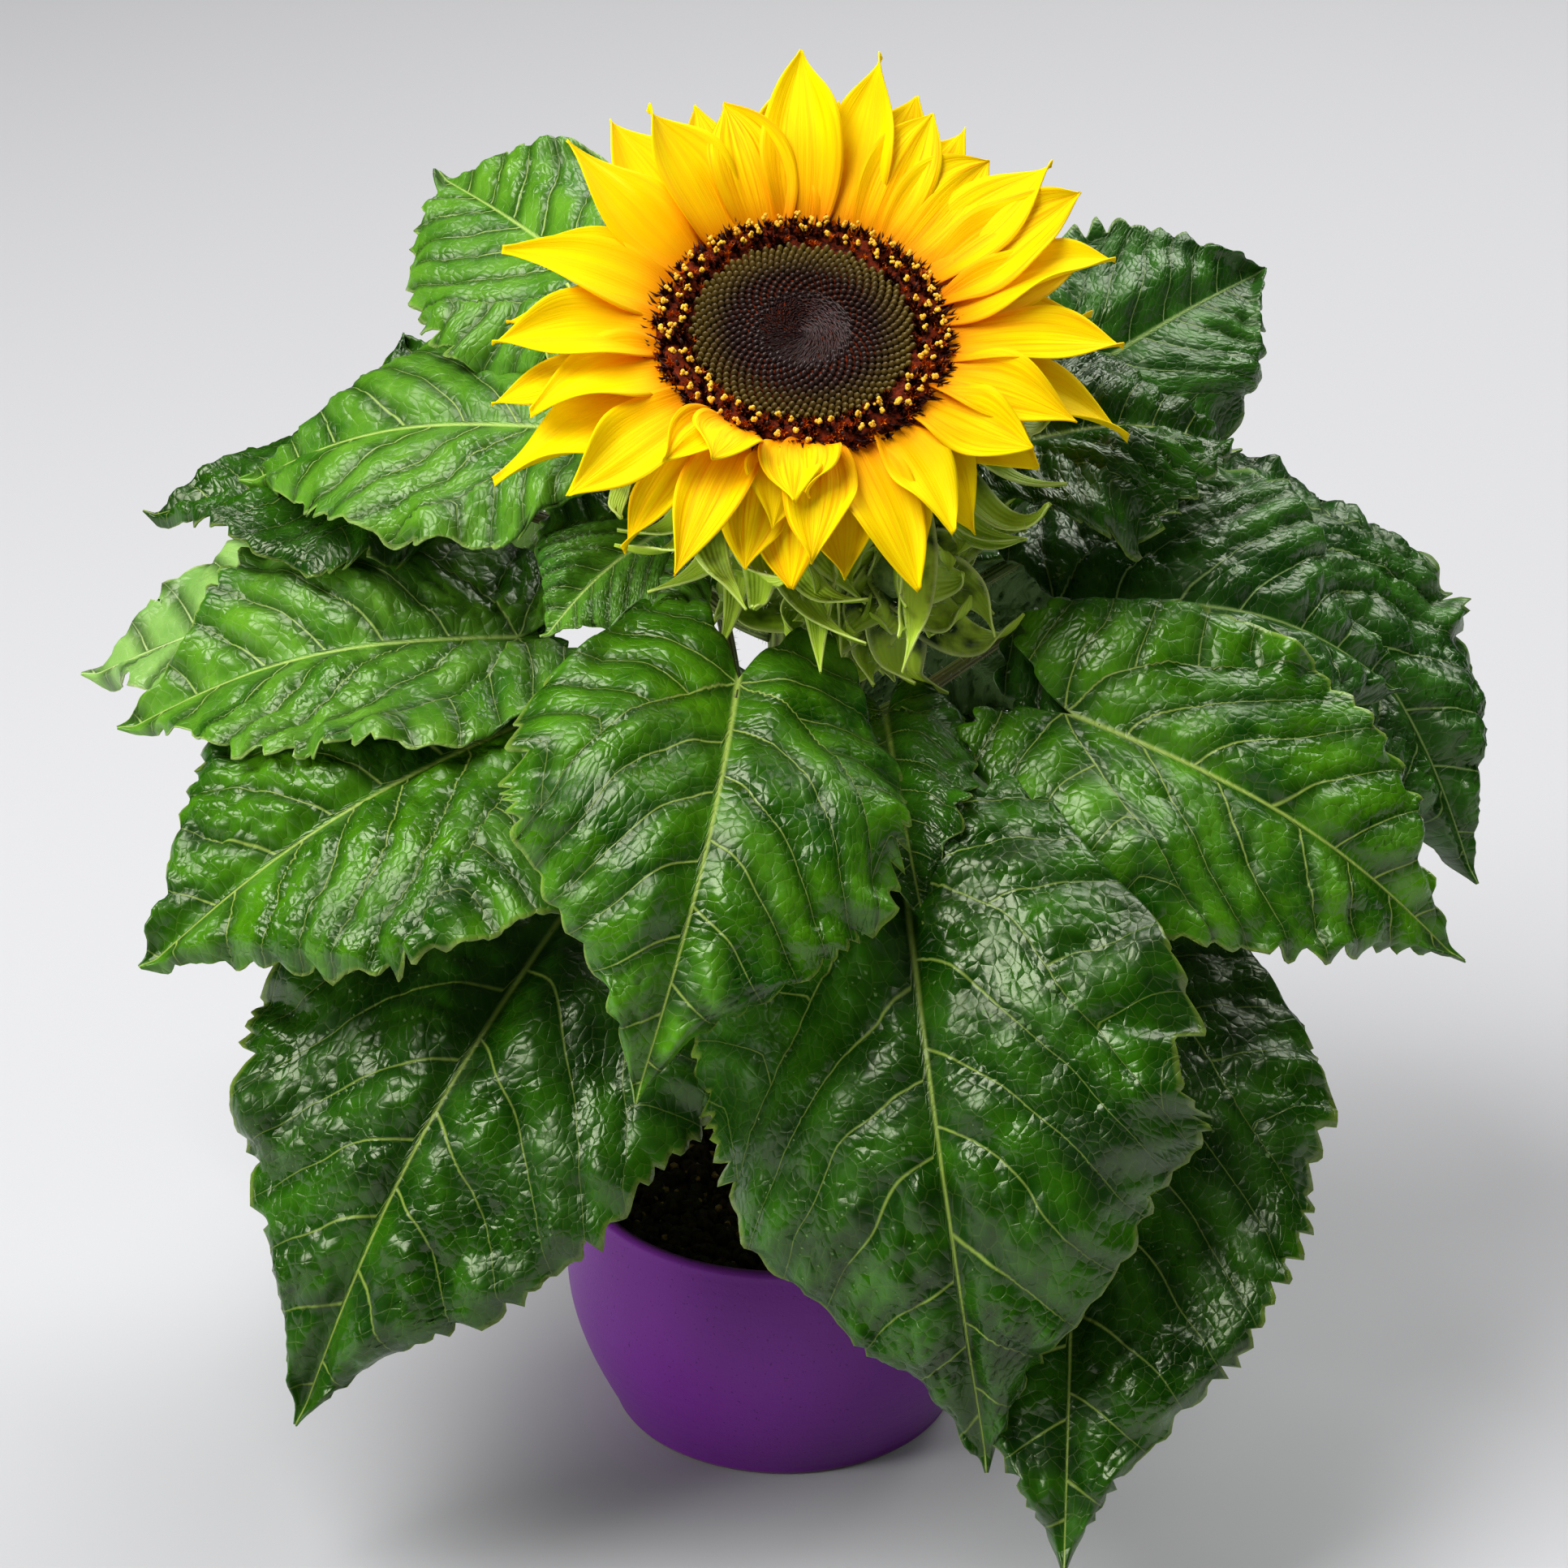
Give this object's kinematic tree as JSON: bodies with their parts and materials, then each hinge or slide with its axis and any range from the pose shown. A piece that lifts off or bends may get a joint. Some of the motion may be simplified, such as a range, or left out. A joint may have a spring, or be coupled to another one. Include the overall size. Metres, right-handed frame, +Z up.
{
  "type": "potted sunflower plant",
  "caption": "Dwarf sunflower in a round purple pot: one yellow flower head with a dark disc above a full crown of broad toothed heart-shaped leaves.",
  "frame": {"origin": "centre of the pot's flat underside", "axes": "+Z up, the flower faces -Y and upwards, +X to the right as seen from the front"},
  "size_m": [0.4223, 0.3467, 0.4062],
  "materials": {
    "pot": "purple glaze, satin",
    "soil": "moist potting soil",
    "stem": "green, ribbed and hairy",
    "leaf": "green, puckered, soft gloss",
    "head": "green and hairy",
    "disc": "dark brown florets",
    "petal": "yellow, fine lengthwise ribs"
  },
  "bodies": {
    "root": {"pot": "pot", "soil": "soil", "stem": "stem", "leaf_front_centre": "leaf", "leaf_front_left": "leaf", "leaf_lower_left": "leaf", "leaf_left_middle": "leaf", "leaf_left_upper": "leaf", "leaf_left_far": "leaf", "leaf_left_dark": "leaf", "leaf_left_light": "leaf", "leaf_left_top": "leaf", "leaf_left_small": "leaf", "leaf_young_left": "leaf", "leaf_right_top": "leaf", "leaf_right_small": "leaf", "leaf_right_upper": "leaf", "leaf_right_front": "leaf", "leaf_right_far": "leaf", "leaf_centre_right": "leaf", "leaf_right_inner": "leaf", "leaf_lower_right": "leaf", "leaf_back_low_left": "leaf", "leaf_back_low_middle": "leaf", "leaf_back_low_right": "leaf", "leaf_back_middle_left": "leaf", "leaf_back_middle_right": "leaf", "leaf_back_upper_left": "leaf", "leaf_back_top": "leaf", "flower_head": "head", "flower_disc": "disc", "ray_petals": "petal"}
  },
  "joints": []
}
